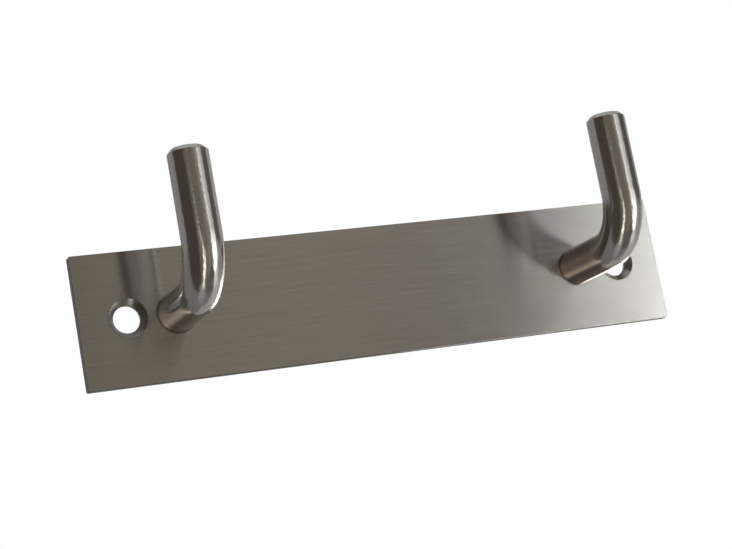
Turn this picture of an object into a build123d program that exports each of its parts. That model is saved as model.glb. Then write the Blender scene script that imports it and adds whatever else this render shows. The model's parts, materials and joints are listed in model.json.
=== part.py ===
from build123d import *

import os

# Hook rail: a brushed steel strip with two bent-rod hooks and two countersunk screw holes.
# Millimetres. The strip's back lies on the wall in the plane y = 0, with its centre at the
# origin. +X runs along the strip to the right, +Z is up and the hooks stand out towards -Y.

os.makedirs("parts", exist_ok=True)

# Back plate, a flat strip cut to length
plate_length = 130.0
plate_height = 27.0
plate_thickness = 2.0
corner_radius = 0.4
edge_break = 0.1

# Screw holes, one near each end of the strip
screw_from_end = 10.0
screw_hole_diameter = 5.5
countersink_diameter = 8.0
countersink_angle = 90.0

# Hooks, each a round rod with one square bend
rod_diameter = 8.0
hook_from_screw = 10.0
hook_reach = 24.5  # from the plate's front to the axis of the upright leg
hook_rise = 26.5  # from the axis of the arm to the end of the leg
bend_radius = 10.0  # on the rod's centre line
tip_chamfer = 0.9

# Joint between rod and plate: a close hole, bevelled behind and filled flush with weld
seat_clearance = 0.05
weld_depth = 0.8

screw_spacing = plate_length - 2 * screw_from_end
hook_pitch = screw_spacing - 2 * hook_from_screw
rod_radius = rod_diameter / 2
seat_radius = rod_radius + seat_clearance
weld_back_radius = seat_radius + weld_depth
leg_y = -(plate_thickness + hook_reach)
hook_places = {"left": -hook_pitch / 2, "right": hook_pitch / 2}

wall_plane = Plane.XZ
front_plane = wall_plane.offset(plate_thickness)

# The strip, its softened edges, the bevelled seats for the rods and the screw holes
with BuildPart() as back_plate:
    with BuildSketch(wall_plane):
        RectangleRounded(plate_length, plate_height, corner_radius)
    extrude(amount=plate_thickness)
    broad_faces = back_plate.faces().filter_by(Axis.Y)
    fillet(broad_faces.edges(), edge_break)
    with Locations(front_plane):
        with GridLocations(hook_pitch, 0, 2, 1):
            Hole(seat_radius)
    seat_rims_at_wall = back_plate.edges(Select.LAST).group_by(Axis.Y)[-1]
    chamfer(seat_rims_at_wall, weld_depth)
    with Locations(front_plane):
        with GridLocations(screw_spacing, 0, 2, 1):
            CounterSinkHole(
                screw_hole_diameter / 2,
                countersink_diameter / 2,
                counter_sink_angle=countersink_angle,
            )
back_plate.part.label = "back_plate"
export_step(back_plate.part, "parts/back_plate.step")

# One rod on each side, from the weld at the back, through its seat, out and up
for side, x in hook_places.items():
    with BuildPart() as hook:
        with BuildLine(Plane.YZ.offset(x)) as centre_line:
            FilletPolyline(
                (-weld_depth, 0), (leg_y, 0), (leg_y, hook_rise), radius=bend_radius
            )
        with BuildSketch(wall_plane.offset(weld_depth)):
            with Locations((x, 0)):
                Circle(rod_radius)
        sweep(path=centre_line.line)
        tip_rim = hook.edges().filter_by(GeomType.CIRCLE).sort_by(Axis.Z)[-1]
        chamfer(tip_rim, tip_chamfer)
    hook.part.label = f"hook_{side}"
    export_step(hook.part, f"parts/hook_{side}.step")

# The weld behind each rod fills the bevelled seat and is ground level with the plate's back
for side, x in hook_places.items():
    with BuildPart(wall_plane) as weld:
        with Locations((x, 0)):
            Cone(
                weld_back_radius,
                seat_radius,
                weld_depth,
                align=(Align.CENTER, Align.CENTER, Align.MIN),
            )
    weld.part.label = f"weld_{side}"
    export_step(weld.part, f"parts/weld_{side}.step")
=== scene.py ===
import json
from math import cos, pi, radians, sin, tan

import bmesh
import bpy
from bpy.props import FloatProperty, FloatVectorProperty, IntProperty, PointerProperty
from mathutils import Matrix, Quaternion, Vector


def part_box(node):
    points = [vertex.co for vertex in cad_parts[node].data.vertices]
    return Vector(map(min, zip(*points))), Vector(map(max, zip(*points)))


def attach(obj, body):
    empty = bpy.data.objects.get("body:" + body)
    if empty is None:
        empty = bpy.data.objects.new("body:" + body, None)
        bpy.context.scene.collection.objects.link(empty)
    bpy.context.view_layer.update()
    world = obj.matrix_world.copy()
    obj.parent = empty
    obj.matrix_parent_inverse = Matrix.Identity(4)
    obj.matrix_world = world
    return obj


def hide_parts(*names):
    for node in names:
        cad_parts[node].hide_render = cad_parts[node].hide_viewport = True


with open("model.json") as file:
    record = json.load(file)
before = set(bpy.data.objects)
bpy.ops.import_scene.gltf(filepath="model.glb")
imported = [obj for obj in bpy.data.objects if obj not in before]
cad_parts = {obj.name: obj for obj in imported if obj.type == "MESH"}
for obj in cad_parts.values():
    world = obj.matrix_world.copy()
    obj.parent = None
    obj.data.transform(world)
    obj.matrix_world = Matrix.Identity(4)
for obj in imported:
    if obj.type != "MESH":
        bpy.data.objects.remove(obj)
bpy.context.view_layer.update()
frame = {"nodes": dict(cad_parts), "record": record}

bl_info = {
    "name": "Hook Rail",
    "version": (1, 0, 0),
    "blender": (4, 5, 0),
    "location": "3D View > Sidebar > Hook Rail",
    "description": "Dresses a steel strip with two bent-rod hooks and sets a studio round it",
    "category": "Object",
}

BODY = "root"
mounts = {mount["name"]: mount for mount in frame["record"]["mounts"]}
plate_low, plate_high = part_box("back_plate")
hook_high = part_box("hook_left")[1]
leg_mount = mounts["hook_leg_right"]
bore_mount = mounts["screw_hole_right"]

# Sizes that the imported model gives, in metres
MILLIMETRE = 0.001
PLATE_BACK = plate_high.y
PLATE_MIDDLE = (plate_low.y + plate_high.y) / 2
HALF_THICKNESS = (plate_high.y - plate_low.y) / 2
ROD_RADIUS = leg_mount["dims"]["r_mm"] * MILLIMETRE
LEG_X, LEG_Y = leg_mount["pos_m"][0], leg_mount["pos_m"][1]
ARM_START = hook_high.y
TIP_HEIGHT = hook_high.z
SCREW_X = bore_mount["pos_m"][0]


class HookSettings(bpy.types.PropertyGroup):
    """Sizes and finish of the two bent rods."""

    bend_radius: FloatProperty(
        name="Bend radius",
        description="Radius of the bend on the rod's centre line",
        default=0.010,
        min=0.006,
        subtype="DISTANCE",
        unit="LENGTH",
    )
    tip_chamfer: FloatProperty(
        name="Tip chamfer",
        description="Chamfer round the free end of the rod",
        default=0.0009,
        min=0.0001,
        subtype="DISTANCE",
        unit="LENGTH",
    )
    softening: FloatProperty(
        name="Softened edges",
        description="Width that tumbling took off the rod's sharp edges",
        default=0.00012,
        min=0.00002,
        subtype="DISTANCE",
        unit="LENGTH",
    )
    steps_round: IntProperty(
        name="Steps round",
        description="Faces round the rod",
        default=112,
        min=24,
    )
    steps_bend: IntProperty(
        name="Steps in bend",
        description="Faces along the bend",
        default=48,
        min=12,
    )
    steel: FloatVectorProperty(
        name="Steel",
        description="Colour of the satin steel rod",
        default=(0.64, 0.615, 0.58),
        size=3,
        min=0.0,
        max=1.0,
        subtype="COLOR",
    )
    # Painted shade: darkens and browns the arm of the rod near the strip
    heat_stain: FloatVectorProperty(
        name="Heat stain",
        description="Tint that the welding left on the arm of the rod",
        default=(0.62, 0.56, 0.53),
        size=3,
        min=0.0,
        max=1.0,
        subtype="COLOR",
    )
    roughness: FloatProperty(
        name="Roughness",
        description="Roughness of the satin rod",
        default=0.18,
        min=0.0,
        max=1.0,
        subtype="FACTOR",
    )
    marks_depth: FloatProperty(
        name="Marks depth",
        description="Depth of the drawn marks and pits on the rod",
        default=0.000022,
        min=0.0,
        subtype="DISTANCE",
        unit="LENGTH",
    )


class PlateSettings(bpy.types.PropertyGroup):
    """Sizes and finish of the brushed strip."""

    countersink_radius: FloatProperty(
        name="Countersink radius",
        description="Radius of the countersink at the front of the strip",
        default=0.004,
        min=0.003,
        subtype="DISTANCE",
        unit="LENGTH",
    )
    grain_length: FloatProperty(
        name="Grain length",
        description="Typical length of one brushing mark",
        default=0.006,
        min=0.001,
        subtype="DISTANCE",
        unit="LENGTH",
    )
    grain_width: FloatProperty(
        name="Grain width",
        description="Typical width of one brushing mark",
        default=0.00014,
        min=0.00002,
        subtype="DISTANCE",
        unit="LENGTH",
    )
    grain_depth: FloatProperty(
        name="Grain depth",
        description="Depth of the brushing marks",
        default=0.0000004,
        min=0.0,
        subtype="DISTANCE",
        unit="LENGTH",
    )
    ring_depth: FloatProperty(
        name="Ring depth",
        description="Depth of the turning rings in the countersinks",
        default=0.0000023,
        min=0.0,
        subtype="DISTANCE",
        unit="LENGTH",
    )
    steel: FloatVectorProperty(
        name="Steel",
        description="Colour of the brushed steel strip",
        default=(0.56, 0.545, 0.52),
        size=3,
        min=0.0,
        max=1.0,
        subtype="COLOR",
    )
    roughness: FloatProperty(
        name="Roughness",
        description="Roughness of the brushed faces",
        default=0.195,
        min=0.0,
        max=1.0,
        subtype="FACTOR",
    )


class WeldSettings(bpy.types.PropertyGroup):
    """Finish of the ground welds behind the rods."""

    steel: FloatVectorProperty(
        name="Weld",
        description="Colour of the weld, ground flush",
        default=(0.54, 0.53, 0.51),
        size=3,
        min=0.0,
        max=1.0,
        subtype="COLOR",
    )
    grinding_width: FloatProperty(
        name="Grinding marks",
        description="Typical width of one grinding mark",
        default=0.0003,
        min=0.00002,
        subtype="DISTANCE",
        unit="LENGTH",
    )
    roughness: FloatProperty(
        name="Roughness",
        description="Roughness of the ground weld",
        default=0.3,
        min=0.0,
        max=1.0,
        subtype="FACTOR",
    )


class StageSettings(bpy.types.PropertyGroup):
    """The studio: floor, lamps, the tent and cards that the metal mirrors, and camera."""

    floor_drop: FloatProperty(
        name="Floor drop",
        description="How far the floor lies below the middle of the rail",
        default=1.3,
        min=0.1,
        subtype="DISTANCE",
        unit="LENGTH",
    )
    floor_radius: FloatProperty(
        name="Floor radius",
        description="Radius of the round floor",
        default=8.0,
        min=1.0,
        subtype="DISTANCE",
        unit="LENGTH",
    )
    floor_colour: FloatVectorProperty(
        name="Floor",
        description="Colour of the floor",
        default=(0.9, 0.9, 0.9),
        size=3,
        min=0.0,
        max=1.0,
        subtype="COLOR",
    )
    tent_radius: FloatProperty(
        name="Tent radius",
        description="Radius of the cloth tent that the metal mirrors",
        default=1.25,
        min=0.6,
        subtype="DISTANCE",
        unit="LENGTH",
    )
    camera_place: FloatVectorProperty(
        name="Camera place",
        description="Where the camera stands",
        default=(-0.138538, -0.330349, -0.059468),
        size=3,
        subtype="TRANSLATION",
        unit="LENGTH",
    )
    camera_heading: FloatProperty(
        name="Camera heading",
        description="Turn of the view to the right of straight ahead",
        default=radians(22.305),
        subtype="ANGLE",
        unit="ROTATION",
    )
    camera_pitch: FloatProperty(
        name="Camera pitch",
        description="Tilt of the view above level",
        default=radians(10.051),
        subtype="ANGLE",
        unit="ROTATION",
    )
    camera_roll: FloatProperty(
        name="Camera roll",
        description="Turn of the camera about its own view line",
        default=radians(-10.447),
        subtype="ANGLE",
        unit="ROTATION",
    )
    camera_lens: FloatProperty(
        name="Camera lens",
        description="Focal length on a 36 mm wide sensor",
        default=85.618,
        min=10.0,
        unit="CAMERA",
    )


class Signal:
    """A number made by nodes, which plain arithmetic can be done on."""

    def __init__(self, builder, socket):
        self.builder = builder
        self.socket = socket

    def __add__(self, other):
        return self.builder.math("ADD", self, other)

    __radd__ = __add__

    def __mul__(self, other):
        return self.builder.math("MULTIPLY", self, other)

    __rmul__ = __mul__

    def __sub__(self, other):
        return self.builder.math("SUBTRACT", self, other)

    def __rsub__(self, other):
        return self.builder.math("SUBTRACT", other, self)

    def __truediv__(self, other):
        return self.builder.math("DIVIDE", self, other)

    def __rtruediv__(self, other):
        return self.builder.math("DIVIDE", other, self)

    def __abs__(self):
        return self.builder.math("ABSOLUTE", self)


class NodeBuilder:
    """Adds nodes to one tree and links them."""

    def __init__(self, tree):
        self.tree = tree

    def node(self, kind, settings=None, **inputs):
        """Adds one node, with its settings first and then its sockets, by name."""
        made = self.tree.nodes.new(kind)
        for key, value in (settings or {}).items():
            setattr(made, key, value)
        for key, value in inputs.items():
            self.feed(made.inputs[key.replace("_", " ")], value)
        return made

    def feed(self, socket, value):
        """Links a socket to a signal or another socket, or sets its value."""
        if isinstance(value, Signal):
            value = value.socket
        if isinstance(value, bpy.types.NodeSocket):
            self.tree.links.new(value, socket)
        else:
            socket.default_value = value

    def math(self, operation, *values):
        made = self.node("ShaderNodeMath", {"operation": operation})
        for socket, value in zip(made.inputs, values):
            self.feed(socket, value)
        return Signal(self, made.outputs[0])

    def joined(self, x, y, z):
        """The vector with these three parts."""
        return self.node("ShaderNodeCombineXYZ", X=x, Y=y, Z=z).outputs[0]

    def parts(self, vector):
        """The three numbers in a vector."""
        split = self.node("ShaderNodeSeparateXYZ", Vector=vector)
        return [Signal(self, socket) for socket in split.outputs]


class Shader(NodeBuilder):
    """Builds the nodes of one material or world."""

    def __init__(self, owner):
        owner.use_nodes = True
        super().__init__(owner.node_tree)
        self.tree.nodes.clear()

    def object_place(self):
        return self.node("ShaderNodeTexCoord").outputs["Object"]

    def times(self, first, second):
        """Two vectors or colours multiplied part by part."""
        made = self.node("ShaderNodeVectorMath", {"operation": "MULTIPLY"})
        self.feed(made.inputs[0], first)
        self.feed(made.inputs[1], second)
        return made.outputs[0]

    def distance(self, across, up):
        """How far a point lies from where both numbers are zero."""
        return self.math("SQRT", across * across + up * up)

    def noise(self, place, frequencies, detail=1.0):
        """Noise from 0 to 1, with so many marks per metre along each axis."""
        made = self.node(
            "ShaderNodeTexNoise",
            {"noise_dimensions": "3D"},
            Vector=self.times(place, frequencies),
            Scale=1.0,
            Detail=detail,
        )
        return Signal(self, made.outputs["Fac"])

    def ramp(self, value, start, end):
        """A smooth step from 0 to 1 as the value goes from start to end, either way."""
        low, high = (0.0, 1.0) if start <= end else (1.0, 0.0)
        made = self.node("ShaderNodeMapRange", {"interpolation_type": "SMOOTHSTEP"})
        for name, number in (
            ("Value", value),
            ("From Min", min(start, end)),
            ("From Max", max(start, end)),
            ("To Min", low),
            ("To Max", high),
        ):
            self.feed(made.inputs[name], number)
        return Signal(self, made.outputs["Result"])

    def mix(self, factor, first, second):
        """Mixes two colours."""
        made = self.node("ShaderNodeMix", {"data_type": "RGBA"})
        colours = [socket for socket in made.inputs if socket.type == "RGBA"]
        self.feed(made.inputs["Factor"], factor)
        self.feed(colours[0], first)
        self.feed(colours[1], second)
        return next(socket for socket in made.outputs if socket.type == "RGBA")

    def shade(self, colour, amount):
        """The colour made darker or lighter by a signal round one."""
        return self.times(colour, self.joined(amount, amount, amount))

    def bump(self, height, distance, normal=None):
        made = self.node("ShaderNodeBump", Strength=1.0, Distance=distance, Height=height)
        if normal is not None:
            self.feed(made.inputs["Normal"], normal)
        return made.outputs["Normal"]

    def surface(self, kind, output, **inputs):
        """Adds a shader node and shows it on the surface."""
        made = self.node(kind, **inputs)
        self.node(output, Surface=made.outputs[0])

    def metal(self, colour, roughness, normal, anisotropic=0.0, rotation=0.0):
        self.surface(
            "ShaderNodeBsdfPrincipled",
            "ShaderNodeOutputMaterial",
            Base_Color=colour,
            Metallic=1.0,
            Roughness=roughness,
            Normal=normal,
            Anisotropic=anisotropic,
            Anisotropic_Rotation=rotation,
        )

    def glow(self, colour):
        self.surface(
            "ShaderNodeEmission", "ShaderNodeOutputMaterial", Color=colour, Strength=1.0
        )


def opaque(colour):
    """A colour property as the four numbers that a colour socket takes."""
    return (*colour, 1.0)


# Brushing marks that differ from the fine ones: how many times longer and wider they are
LONG_MARK = (4, 1.7)
WIDE_MARK = (1.4, 3.2)
WIDE_MARK_DEPTH = 30  # times the depth of a fine mark
PLATE_CLOUDS = (25, 60, 60)  # per metre along each axis

# How much each kind of mark changes the strip's tone and roughness
STREAK_TONE, WIDE_TONE, CLOUD_TONE = 0.1, 0.16, 0.03
STREAK_ROUGHNESS, CLOUD_ROUGHNESS = 0.02, 0.03

# How much darker the sheared edges (with painted shade on their rounded rims), the painted shade
# round the rods' seats and the countersinks are
SHEARED_AND_RIM_SHADE, PAINTED_SEAT_SHADE, TURNED_SHADE = 0.5, 0.45, 0.2
SHEARED_ROUGHNESS, TURNED_ROUGHNESS = 0.2, 0.2

# Distances in metres over which each finish and each painted shade fades in
TURNED_FADE = 0.00008  # beyond the countersink's rim
TURNED_OFF_BACK = (0.00002, 0.00006)  # in front of the strip's back
SHEARED_AND_RIM_SHADE_OFF_FACE = (0.0000005, 0.000005)  # in from the nearer broad face
SHEARED_AND_RIM_SHADE_OFF_ROD = (0.0004, 0.0006)  # out from the rod
# Painted shade in the crease round each rod's seat, full close to the rod
PAINTED_SEAT_SHADE_OFF_ROD = (0.00035, 0.00005)  # out from the rod, full at the second

RING_SPACING = 0.00012  # between two turning rings, in metres
QUARTER_TURN = 0.25  # turns the anisotropy, as a share of a whole turn


def brushed_plate_material(plate):
    """Brushed steel: fine marks along the strip, turned countersinks, sheared edges with painted
    shade on their rounded rims, and painted shade round the rods' seats.
    """
    material = bpy.data.materials.new("brushed_steel_strip")
    shader = Shader(material)
    place = shader.object_place()
    x, y, z = shader.parts(place)

    def marks(longer=1, wider=1):
        along, across = 1 / plate.grain_length / longer, 1 / plate.grain_width / wider
        return shader.noise(place, (along, across, across))

    streak = (marks() + marks(*LONG_MARK)) * 0.5
    wide = marks(*WIDE_MARK)
    cloud = shader.noise(place, PLATE_CLOUDS)

    rim = plate.countersink_radius
    from_screw = shader.distance(abs(x) - SCREW_X, z)
    from_rod = shader.distance(abs(x) - LEG_X, z)
    from_middle = abs(y - PLATE_MIDDLE)
    turned = shader.ramp(from_screw, rim + TURNED_FADE, rim)
    turned = turned * shader.ramp(y, *(PLATE_BACK - gap for gap in TURNED_OFF_BACK))
    # The edge faces and their rounded rims: darker partly as the sheared finish, partly as painted
    # shade that dims the reflection on the rims
    sheared_and_rim_shade = shader.ramp(from_middle, *(HALF_THICKNESS - gap for gap in SHEARED_AND_RIM_SHADE_OFF_FACE))
    sheared_and_rim_shade = sheared_and_rim_shade * (1 - turned)
    sheared_and_rim_shade = sheared_and_rim_shade * shader.ramp(from_rod, *(ROD_RADIUS + gap for gap in SHEARED_AND_RIM_SHADE_OFF_ROD))
    # Painted shade round each rod where it enters the strip
    painted_seat_shade = shader.ramp(from_rod, *(ROD_RADIUS + gap for gap in PAINTED_SEAT_SHADE_OFF_ROD))

    tone = 1 + STREAK_TONE * (streak - 0.5) + WIDE_TONE * (wide - 0.5) + CLOUD_TONE * (cloud - 0.5)
    # Painted shade on the rims and round the rods' seats, with the sheared edges' own darker tone
    tone = tone * (1 - SHEARED_AND_RIM_SHADE * sheared_and_rim_shade) * (1 - PAINTED_SEAT_SHADE * painted_seat_shade)
    colour = shader.shade(plate.steel, tone * (1 - TURNED_SHADE * turned))

    roughness = plate.roughness + STREAK_ROUGHNESS * (streak - 0.5)
    roughness = roughness + CLOUD_ROUGHNESS * (cloud - 0.5)
    roughness = roughness * (1 - turned) + TURNED_ROUGHNESS * turned + SHEARED_ROUGHNESS * sheared_and_rim_shade

    brushing = (streak + WIDE_MARK_DEPTH * wide) * (1 - turned)
    rings = shader.math("SINE", from_screw * (2 * pi / RING_SPACING))
    normal = shader.bump(brushing, plate.grain_depth)
    normal = shader.bump(rings * turned, plate.ring_depth, normal)
    shader.metal(colour, roughness, normal, anisotropic=1.0, rotation=QUARTER_TURN)
    return material


# Marks on the rods, per metre across the rod and along it
DRAWN_MARKS = (3500, 3500, 90)
SOFT_BANDS = (700, 700, 30)
PITS = (2600, 2600, 1700)

# How much they change the rod's tone, roughness and height
DRAWN_TONE, BAND_TONE, BAND_ROUGHNESS = 0.2, 0.14, 0.06
DRAWN_HEIGHT = 0.5

# Lengths along the rod, from its welded end, where the painted shade on the arm begins to show and
# is full
ARM_SHADE_LIMITS = (0.022, 0.012)


def satin_rod_material(hook):
    """Satin steel rod, with fine drawing marks that follow its bend and painted shade on the arm
    near the strip.
    """
    material = bpy.data.materials.new("satin_steel_rod")
    shader = Shader(material)
    attribute = shader.node(
        "ShaderNodeAttribute", {"attribute_type": "GEOMETRY", "attribute_name": "rod_place"}
    )
    place = attribute.outputs["Vector"]
    drawn = shader.noise(place, DRAWN_MARKS, detail=3.0)
    band = shader.noise(place, SOFT_BANDS, detail=2.0)
    pits = shader.noise(place, PITS)

    _, _, along = shader.parts(place)
    # Painted shade on the arm, full near the strip
    arm_shade_share = shader.ramp(along, *ARM_SHADE_LIMITS)
    arm_shade_tint = shader.mix(arm_shade_share, opaque((1, 1, 1)), opaque(hook.heat_stain))
    tone = 1 + DRAWN_TONE * (drawn - 0.5) + BAND_TONE * (band - 0.5)
    colour = shader.shade(shader.times(arm_shade_tint, hook.steel), tone)
    roughness = hook.roughness + BAND_ROUGHNESS * (band - 0.5)
    normal = shader.bump(DRAWN_HEIGHT * drawn + pits, hook.marks_depth)
    shader.metal(colour, roughness, normal)
    return material


# The welds were ground with a disc whose marks are arcs about this x and z
GRINDING_CENTRE = (-0.03, -0.05)
GRINDING_ALONG = 60  # marks per metre along an arc
GRINDING_DEPTH = 0.000002
WELD_CLOUDS = (400, 400, 400)  # per metre along each axis
WELD_CLOUD_HEIGHT = 0.5  # as a share of a grinding mark's
GRINDING_TONE, WELD_CLOUD_TONE, WELD_CLOUD_ROUGHNESS = 0.16, 0.12, 0.08


def ground_weld_material(weld):
    """Weld ground flush with a disc, with arcs of grinding marks."""
    material = bpy.data.materials.new("ground_weld_steel")
    shader = Shader(material)
    place = shader.object_place()
    x, y, z = shader.parts(place)
    centre_x, centre_z = GRINDING_CENTRE
    across = 1 / weld.grinding_width
    swirl = shader.joined(shader.distance(x - centre_x, z - centre_z), y, x - z)
    marks = shader.noise(swirl, (across, across, GRINDING_ALONG), detail=3.0)
    cloud = shader.noise(place, WELD_CLOUDS, detail=2.0)
    tone = 1 + GRINDING_TONE * (marks - 0.5) + WELD_CLOUD_TONE * (cloud - 0.5)
    roughness = weld.roughness + WELD_CLOUD_ROUGHNESS * (cloud - 0.5)
    normal = shader.bump(marks + WELD_CLOUD_HEIGHT * cloud, GRINDING_DEPTH)
    shader.metal(shader.shade(weld.steel, tone), roughness, normal)
    return material


def linked(name, data):
    """A new object in the scene that holds the data."""
    made = bpy.data.objects.new(name, data)
    bpy.context.scene.collection.objects.link(made)
    return made


class TreeBuilder(NodeBuilder):
    """Builds one Geometry Nodes tree with named inputs."""

    def __init__(self, name, sizes):
        super().__init__(bpy.data.node_groups.new(name, "GeometryNodeTree"))
        self.sizes = sizes
        self.identifiers = {}
        for label, (kind, _) in sizes.items():
            socket = self.tree.interface.new_socket(
                name=label, in_out="INPUT", socket_type=kind
            )
            self.identifiers[label] = socket.identifier
        self.tree.interface.new_socket(
            name="Geometry", in_out="OUTPUT", socket_type="NodeSocketGeometry"
        )
        self.source = self.tree.nodes.new("NodeGroupInput")

    def size(self, label):
        """One of the tree's own inputs, by name."""
        return Signal(self, self.source.outputs[label])

    def chosen(self, kind, index, values):
        """The value whose number in the row is the index."""
        switch = self.node("GeometryNodeIndexSwitch", {"data_type": kind}, Index=index)
        while len(switch.index_switch_items) < len(values):
            switch.index_switch_items.new()
        for number, value in enumerate(values):
            self.feed(switch.inputs[str(number)], value)
        return switch.outputs["Output"]

    def stored(self, geometry, kind, name, value):
        """The geometry with a value kept on each of its points."""
        made = self.node(
            "GeometryNodeStoreNamedAttribute",
            {"data_type": kind, "domain": "POINT"},
            Geometry=geometry,
            Name=name,
            Value=value,
        )
        return made.outputs[0]

    def read(self, kind, name):
        """A value that was kept on the points."""
        made = self.node("GeometryNodeInputNamedAttribute", {"data_type": kind}, Name=name)
        return made.outputs[0]

    def finish(self, geometry):
        realized = self.node("GeometryNodeRealizeInstances", Geometry=geometry)
        dressed = self.node(
            "GeometryNodeSetMaterial",
            Geometry=realized.outputs[0],
            Material=self.source.outputs["Material"],
        )
        sink = self.tree.nodes.new("NodeGroupOutput")
        self.feed(sink.inputs[0], dressed.outputs[0])

    def made_mesh(self, name):
        """Evaluates the tree and returns its result as a plain mesh object at the origin."""
        holder = linked(name + "_maker", bpy.data.meshes.new(name + "_maker"))
        modifier = holder.modifiers.new("maker", "NODES")
        modifier.node_group = self.tree
        for label, (_, value) in self.sizes.items():
            modifier[self.identifiers[label]] = value
        graph = bpy.context.evaluated_depsgraph_get()
        mesh = bpy.data.meshes.new_from_object(holder.evaluated_get(graph))
        holder.modifiers.remove(modifier)
        bpy.data.objects.remove(holder)
        mesh.name = name
        return linked(name, mesh)


def bent_rod(name, x, hook, material):
    """One rod swept along its bent centre line, with its tip chamfered."""
    tree = TreeBuilder(
        "bent_rod",
        {
            "Side Offset": ("NodeSocketFloat", x),
            "Arm Start": ("NodeSocketFloat", ARM_START),
            "Leg Distance": ("NodeSocketFloat", LEG_Y),
            "Tip Height": ("NodeSocketFloat", TIP_HEIGHT),
            "Rod Radius": ("NodeSocketFloat", ROD_RADIUS),
            "Bend Radius": ("NodeSocketFloat", hook.bend_radius),
            "Tip Chamfer": ("NodeSocketFloat", hook.tip_chamfer),
            "Steps Round": ("NodeSocketInt", hook.steps_round),
            "Steps In Bend": ("NodeSocketInt", hook.steps_bend),
            "Material": ("NodeSocketMaterial", material),
        },
    )
    side, arm_start = tree.size("Side Offset"), tree.size("Arm Start")
    leg_y, tip = tree.size("Leg Distance"), tree.size("Tip Height")
    chamfer, radius = tree.size("Tip Chamfer"), tree.size("Rod Radius")

    # The centre line: along the arm, round the bend and up the leg, with a stop at the chamfer
    corners = [
        tree.joined(side, arm_start, 0.0),
        tree.joined(side, leg_y, 0.0),
        tree.joined(side, leg_y, tip - chamfer),
        tree.joined(side, leg_y, tip),
    ]
    line = tree.node("GeometryNodeCurvePrimitiveLine")
    stations = tree.node(
        "GeometryNodeResampleCurve", {"mode": "COUNT"}, Curve=line.outputs[0], Count=len(corners)
    )
    index = tree.node("GeometryNodeInputIndex").outputs[0]
    route = tree.node(
        "GeometryNodeSetPosition",
        Geometry=stations.outputs[0],
        Position=tree.chosen("VECTOR", index, corners),
    )
    path = tree.node(
        "GeometryNodeFilletCurve",
        {"mode": "POLY"},
        Curve=route.outputs[0],
        Count=tree.size("Steps In Bend"),
        Radius=tree.chosen("FLOAT", index, [0.0, tree.size("Bend Radius"), 0.0, 0.0]),
    )
    so_far = tree.node("GeometryNodeSplineParameter").outputs["Length"]
    path = tree.stored(path.outputs[0], "FLOAT", "rod_length", so_far)

    # The round section, swept along it and narrowed at the tip
    ring = tree.node(
        "GeometryNodeCurvePrimitiveCircle",
        {"mode": "RADIUS"},
        Resolution=tree.size("Steps Round"),
        Radius=radius,
    )
    ring_place = tree.node("GeometryNodeInputPosition").outputs[0]
    section = tree.stored(ring.outputs["Curve"], "FLOAT_VECTOR", "rod_section", ring_place)
    share = tree.node("GeometryNodeSplineParameter").outputs["Factor"]
    at_tip = tree.math("COMPARE", share, 1.0, 1e-5)
    swept = tree.node(
        "GeometryNodeCurveToMesh",
        Curve=path,
        Profile_Curve=section,
        Scale=1.0 - at_tip * (chamfer / radius),
        Fill_Caps=True,
    )

    # Each point keeps its place in the section and along the rod, which the finish follows
    across, up, _ = tree.parts(tree.read("FLOAT_VECTOR", "rod_section"))
    rod_place = tree.joined(across, up, tree.read("FLOAT", "rod_length"))
    tree.finish(tree.stored(swept.outputs[0], "FLOAT_VECTOR", "rod_place", rod_place))
    rod = tree.made_mesh(name)
    soften(rod, hook.softening)
    return rod


SHARP_ANGLE = radians(30)


def soften(piece, width):
    """Rounds the sharp edges of a piece and shades its long faces smoothly."""
    mesh = piece.data
    shell = bmesh.new()
    shell.from_mesh(mesh)
    bmesh.ops.recalc_face_normals(shell, faces=shell.faces)
    sharp = [edge for edge in shell.edges if edge.calc_face_angle(0.0) > SHARP_ANGLE]
    bmesh.ops.bevel(
        shell, geom=sharp, offset=width, segments=3, profile=0.5, affect="EDGES", clamp_overlap=True
    )
    for face in shell.faces:
        face.smooth = True
    shell.to_mesh(mesh)
    shell.free()
    weights = piece.modifiers.new("flat ends stay flat", "WEIGHTED_NORMAL")
    weights.keep_sharp = True


def dress(node, material):
    """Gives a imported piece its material."""
    slots = frame["nodes"][node].material_slots
    if not slots:
        raise RuntimeError(f"{node} has no material slot")
    for slot in slots:
        slot.material = material


class HOOKRAIL_OT_plate(bpy.types.Operator):
    """Gives the back plate its brushed steel finish"""

    bl_idname = "hookrail.plate"
    bl_label = "Finish Back Plate"
    bl_options = {"REGISTER", "UNDO"}

    def execute(self, context):
        dress("back_plate", brushed_plate_material(context.scene.hookrail_plate))
        return {"FINISHED"}


class HOOKRAIL_OT_hooks(bpy.types.Operator):
    """Makes both bent-rod hooks"""

    bl_idname = "hookrail.hooks"
    bl_label = "Make Hooks"
    bl_options = {"REGISTER", "UNDO"}

    def execute(self, context):
        hook = context.scene.hookrail_hooks
        material = satin_rod_material(hook)
        for side, x in (("left", -LEG_X), ("right", LEG_X)):
            rod = bent_rod(f"bent_rod_{side}", x, hook, material)
            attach(rod, BODY)
            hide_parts(f"hook_{side}")
        return {"FINISHED"}


class HOOKRAIL_OT_welds(bpy.types.Operator):
    """Gives the welds behind the rods their ground finish"""

    bl_idname = "hookrail.welds"
    bl_label = "Finish Welds"
    bl_options = {"REGISTER", "UNDO"}

    def execute(self, context):
        material = ground_weld_material(context.scene.hookrail_welds)
        for side in ("left", "right"):
            dress(f"weld_{side}", material)
        return {"FINISHED"}


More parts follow.
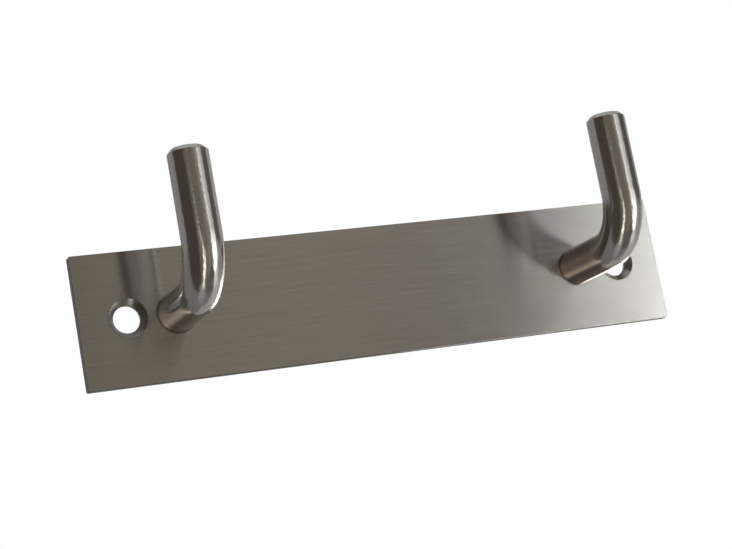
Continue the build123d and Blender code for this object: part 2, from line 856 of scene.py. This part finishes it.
# Panels of the tent, which the metal mirrors: first and last heading, lowest and highest rise,
# softness of the sides, all in degrees, and colour. Heading is the angle to the right of straight
# ahead and rise the angle above level, seen from the middle of the rail. Each panel covers those
# before it.
TENT_BASE = (0.21, 0.205, 0.21)
TENT_PANELS = {
    "back wall": ((96, 181), (-60, 60), 1.5, (0.42, 0.41, 0.4)),
    "back wall left": ((-181, -104), (3, 60), 1.5, (0.29, 0.28, 0.29)),
    "floor cloth behind": ((-181, -20), (-91, -66), 1.5, (0.34, 0.33, 0.32)),
    "dark curtain": ((-103, -39), (-64, 60), 1.5, (0.074, 0.06, 0.052)),
    "front wall": ((-39, 66), (-62, 60), 1.5, (0.17, 0.154, 0.133)),
    "front wall middle": ((9, 66), (-62, 60), 3.5, (0.25, 0.222, 0.19)),
    "front wall right": ((22, 66), (-62, 60), 5, (0.228, 0.203, 0.174)),
    "front wall far right": ((28, 66), (-62, 60), 2, (0.09, 0.082, 0.074)),
    "front wall top": ((17, 66), (21, 60), 5, (0.55, 0.51, 0.46)),
    "front wall top right": ((28, 66), (21, 60), 4, (0.24, 0.226, 0.206)),
    "front cloth below": ((-20, 100), (-91, -57), 1.5, (0.13, 0.125, 0.115)),
    "side wall": ((58, 94), (-2, 60), 1.5, (0.13, 0.12, 0.12)),
    "side wall low": ((58, 110), (-28, -3), 1.5, (0.32, 0.31, 0.31)),
    "side wall below": ((66, 140), (-57, -30), 1.5, (0.5, 0.49, 0.48)),
    "ceiling": ((-181, 181), (60, 91), 1.5, (0.5, 0.5, 0.5)),
}
RISE_SOFTNESS = 2  # the top and bottom of a panel are as many times softer than its sides


def tent_material():
    """Panels of plain greys all round the rail, seen only in the metal."""
    material = bpy.data.materials.new("tent_cloth")
    shader = Shader(material)
    x, y, z = shader.parts(shader.object_place())
    heading = shader.math("ARCTAN2", x, 0 - y) * (180 / pi)
    rise = shader.math("ARCTAN2", z, shader.distance(x, y)) * (180 / pi)
    colour = opaque(TENT_BASE)
    for (first, last), (low, high), soft, panel in TENT_PANELS.values():
        tall = RISE_SOFTNESS * soft
        mask = shader.ramp(heading, first - soft, first + soft)
        mask = mask * shader.ramp(heading, last + soft, last - soft)
        mask = mask * shader.ramp(rise, low - tall, low + tall)
        mask = mask * shader.ramp(rise, high + tall, high - tall)
        colour = shader.mix(mask, colour, opaque(panel))
    shader.glow(colour)
    material.cycles.emission_sampling = "NONE"
    return material


def direction(heading, rise):
    """The unit vector at a heading and a rise in degrees."""
    level = cos(radians(rise))
    turn = radians(heading)
    return Vector((level * sin(turn), -level * cos(turn), sin(radians(rise))))


def mesh_object(name, shell, material):
    """Links a new object that wears one material, made from a bmesh."""
    mesh = bpy.data.meshes.new(name)
    shell.to_mesh(mesh)
    shell.free()
    mesh.materials.append(material)
    return linked(name, mesh)


def seen_by_metal_only(piece):
    """Keeps a stage piece out of sight, so that it shows only as a reflection."""
    piece.visible_camera = False
    piece.visible_diffuse = False
    piece.visible_shadow = False


def make_tent(stage):
    """A round tent about the rail."""
    shell = bmesh.new()
    bmesh.ops.create_uvsphere(shell, u_segments=96, v_segments=48, radius=stage.tent_radius)
    bmesh.ops.reverse_faces(shell, faces=shell.faces)
    seen_by_metal_only(mesh_object("tent", shell, tent_material()))


# Bright cards inside the tent, each a patch of a sphere about the rail: its radius in metres, its
# glow, and rows of rise, first heading and last heading in degrees
CARDS = {
    "lamp": {
        "radius": 1.2,
        "glow": (2.25, 2.36, 2.31),
        "rows": (
            (-44, 56, 68),
            (-40, 48, 69),
            (-36, 43, 69),
            (-32, 40, 68),
            (-28, 37.5, 66),
            (-22, 35.5, 66),
            (-14, 36, 61.5),
            (-7, 37, 58),
        ),
    },
    "window": {
        "radius": 0.55,
        "glow": (1.12, 1.16, 1.14),
        "rows": ((-7, 37, 60), (0, 37, 58), (8, 36, 54)),
    },
    "window_middle": {
        "radius": 0.55,
        "glow": (0.7, 0.73, 0.72),
        "rows": ((8, 35, 54), (12, 34, 54), (18, 33, 53)),
    },
    "window_top": {
        "radius": 0.55,
        "glow": (0.44, 0.46, 0.46),
        "rows": ((18, 33, 53), (40, 33, 53), (60, 33, 53)),
    },
    "low_window": {
        "radius": 1.2,
        "glow": (0.88, 0.88, 0.87),
        "rows": ((-53, 68, 98), (-47, 68, 96), (-38, 75, 90)),
    },
    "near_card": {
        "radius": 0.342,
        "glow": (0.1, 0.092, 0.09),
        "rows": ((2, 58, 94), (10, 55.5, 94), (25, 54, 94), (50, 54, 94)),
    },
    "strip_top": {
        "radius": 0.57,
        "glow": (1.0, 0.94, 0.86),
        "rows": ((12, -30, -25), (0, -26.5, -21.5), (-12, -23, -18)),
    },
    "strip_middle": {
        "radius": 0.57,
        "glow": (2.4, 2.25, 2.1),
        "rows": ((-12, -23.5, -18.5), (-20, -21.5, -17), (-30, -21, -15.5)),
    },
    "strip_low": {
        "radius": 0.57,
        "glow": (3.2, 3.05, 2.85),
        "rows": ((-30, -20.5, -15), (-40, -24.5, -17.5), (-50, -30, -21), (-60, -38, -26)),
    },
    "strip_foot": {
        "radius": 0.57,
        "glow": (1.9, 1.8, 1.65),
        "rows": ((-60, -38, -26), (-68, -50, -34), (-76, -66, -46)),
    },
}
CARD_STEPS = 8


def make_cards():
    """The cards, each a grid of faces between its rows."""
    for name, card in CARDS.items():
        material = bpy.data.materials.new(name)
        Shader(material).glow(opaque(card["glow"]))
        shell = bmesh.new()
        lines = []
        for rise, first, last in card["rows"]:
            width = (last - first) / CARD_STEPS
            headings = [first + width * step for step in range(CARD_STEPS + 1)]
            places = [direction(heading, rise) * card["radius"] for heading in headings]
            lines.append([shell.verts.new(place) for place in places])
        for lower, upper in zip(lines, lines[1:]):
            for step in range(CARD_STEPS):
                corners = (lower[step], lower[step + 1], upper[step + 1], upper[step])
                shell.faces.new(corners)
        seen_by_metal_only(mesh_object(name, shell, material))


# Lamps to the right, each of which lights only some pieces: distance in metres, first and last
# heading, lowest and highest rise and turn about the lamp's own axis in degrees, and power
SIDE_LAMPS = {
    "low_lamp": {
        "lights": ("back_plate",),
        "distance": 1.0,
        "heading": (31.6, 60),
        "rise": (-26, -17),
        "turn": -12,
        "energy": 5.6,
    },
    "leg_lamp": {
        "lights": ("bent_rod_left", "bent_rod_right"),
        "distance": 0.55,
        "heading": (28.5, 50),
        "rise": (-14, 26),
        "turn": 0,
        "energy": 0.36,
    },
}
SOFT_LAMP_PLACE = Vector((0.5, -0.9, 1.8))


def area_lamp(name, shape, width, energy, place, turn=0):
    """An area lamp that faces the rail, turned about its own axis by so many degrees."""
    lamp = bpy.data.lights.new(name, "AREA")
    lamp.shape = shape
    lamp.size = width
    lamp.energy = energy
    holder = linked(name, lamp)
    holder.location = place
    facing = (-place).to_track_quat("-Z", "Y") @ Quaternion((0, 0, 1), radians(turn))
    holder.rotation_euler = facing.to_euler()
    return holder


def make_side_lamps():
    """The lamps that light only the strip or only the rods."""
    for name, side in SIDE_LAMPS.items():
        first, last = side["heading"]
        low, high = side["rise"]
        reach = 2 * side["distance"]
        width = reach * tan(radians(last - first) / 2)
        place = direction((first + last) / 2, (low + high) / 2) * side["distance"]
        holder = area_lamp(name, "RECTANGLE", width, side["energy"], place, side["turn"])
        holder.data.size_y = reach * tan(radians(high - low) / 2)
        holder.visible_camera = False
        lit = bpy.data.collections.new("lit_by_" + name)
        for piece in side["lights"]:
            lit.objects.link(bpy.data.objects[piece])
        holder.light_linking.receiver_collection = lit


def make_soft_lamp():
    """One large soft lamp above, which draws the shadow on the floor."""
    holder = area_lamp("soft_lamp", "DISK", 1.0, 12.0, SOFT_LAMP_PLACE)
    holder.visible_glossy = False


FLOOR_ROUGHNESS = 0.9


def make_floor(stage):
    """A round floor, far below the rail."""
    material = bpy.data.materials.new("floor_paint")
    Shader(material).surface(
        "ShaderNodeBsdfPrincipled",
        "ShaderNodeOutputMaterial",
        Base_Color=opaque(stage.floor_colour),
        Roughness=FLOOR_ROUGHNESS,
    )
    shell = bmesh.new()
    bmesh.ops.create_circle(shell, cap_ends=True, segments=128, radius=stage.floor_radius)
    bmesh.ops.translate(shell, verts=shell.verts, vec=(0, 0, -stage.floor_drop))
    floor = mesh_object("studio_floor", shell, material)


ROOM_LIGHT = 0.85  # what the white world gives to anything but the camera, metal and glass


def make_world():
    """White for the camera and for what the metal mirrors, a little less on the floor."""
    world = bpy.data.worlds.new("studio_white")
    bpy.context.scene.world = world
    shader = Shader(world)
    rays = shader.node("ShaderNodeLightPath")
    camera, glossy, transmission = (
        Signal(shader, rays.outputs[f"Is {kind} Ray"])
        for kind in ("Camera", "Glossy", "Transmission")
    )
    seen = shader.math("MINIMUM", camera + glossy + transmission, 1.0)
    shader.surface(
        "ShaderNodeBackground",
        "ShaderNodeOutputWorld",
        Color=opaque((1, 1, 1)),
        Strength=ROOM_LIGHT + (1 - ROOM_LIGHT) * seen,
    )


SENSOR_WIDTH = 36.0  # in millimetres, as the lens is
NEAREST_SEEN = 0.01


def make_camera(stage):
    """The camera at the photo's viewing angle."""
    camera = bpy.data.cameras.new("photo_camera")
    camera.sensor_width = SENSOR_WIDTH
    camera.lens = stage.camera_lens
    camera.clip_start = NEAREST_SEEN
    holder = linked("photo_camera", camera)
    turn = Matrix.Rotation(-stage.camera_heading, 4, "Z")
    turn = turn @ Matrix.Rotation(pi / 2 + stage.camera_pitch, 4, "X")
    turn = turn @ Matrix.Rotation(stage.camera_roll, 4, "Z")
    holder.matrix_world = Matrix.Translation(stage.camera_place) @ turn
    bpy.context.scene.camera = holder


class HOOKRAIL_OT_stage(bpy.types.Operator):
    """Sets the studio round the rail: world, floor, tent, cards, lamps and camera"""

    bl_idname = "hookrail.stage"
    bl_label = "Set Stage"
    bl_options = {"REGISTER", "UNDO"}

    def execute(self, context):
        stage = context.scene.hookrail_stage
        context.scene.view_settings.view_transform = "Standard"
        make_world()
        make_floor(stage)
        make_tent(stage)
        make_cards()
        make_side_lamps()
        make_soft_lamp()
        make_camera(stage)
        return {"FINISHED"}


class HOOKRAIL_PT_sidebar(bpy.types.Panel):
    """Lists what makes the hook rail"""

    bl_idname = "HOOKRAIL_PT_sidebar"
    bl_label = "Hook Rail"
    bl_space_type = "VIEW_3D"
    bl_region_type = "UI"
    bl_category = "Hook Rail"

    def draw(self, context):
        scene = context.scene
        for settings, operator in (
            (scene.hookrail_plate, HOOKRAIL_OT_plate),
            (scene.hookrail_hooks, HOOKRAIL_OT_hooks),
            (scene.hookrail_welds, HOOKRAIL_OT_welds),
            (scene.hookrail_stage, HOOKRAIL_OT_stage),
        ):
            box = self.layout.box()
            for name in settings.__annotations__:
                box.prop(settings, name)
            box.operator(operator.bl_idname)


CLASSES = (
    HookSettings,
    PlateSettings,
    WeldSettings,
    StageSettings,
    HOOKRAIL_OT_plate,
    HOOKRAIL_OT_hooks,
    HOOKRAIL_OT_welds,
    HOOKRAIL_OT_stage,
    HOOKRAIL_PT_sidebar,
)


def register():
    for cls in CLASSES:
        bpy.utils.register_class(cls)
    bpy.types.Scene.hookrail_hooks = PointerProperty(type=HookSettings)
    bpy.types.Scene.hookrail_plate = PointerProperty(type=PlateSettings)
    bpy.types.Scene.hookrail_welds = PointerProperty(type=WeldSettings)
    bpy.types.Scene.hookrail_stage = PointerProperty(type=StageSettings)


def unregister():
    del bpy.types.Scene.hookrail_stage
    del bpy.types.Scene.hookrail_welds
    del bpy.types.Scene.hookrail_plate
    del bpy.types.Scene.hookrail_hooks
    for cls in reversed(CLASSES):
        bpy.utils.unregister_class(cls)


def main():
    register()
    bpy.ops.hookrail.plate()
    bpy.ops.hookrail.hooks()
    bpy.ops.hookrail.welds()
    bpy.ops.hookrail.stage()


if __name__ == "__main__":
    main()
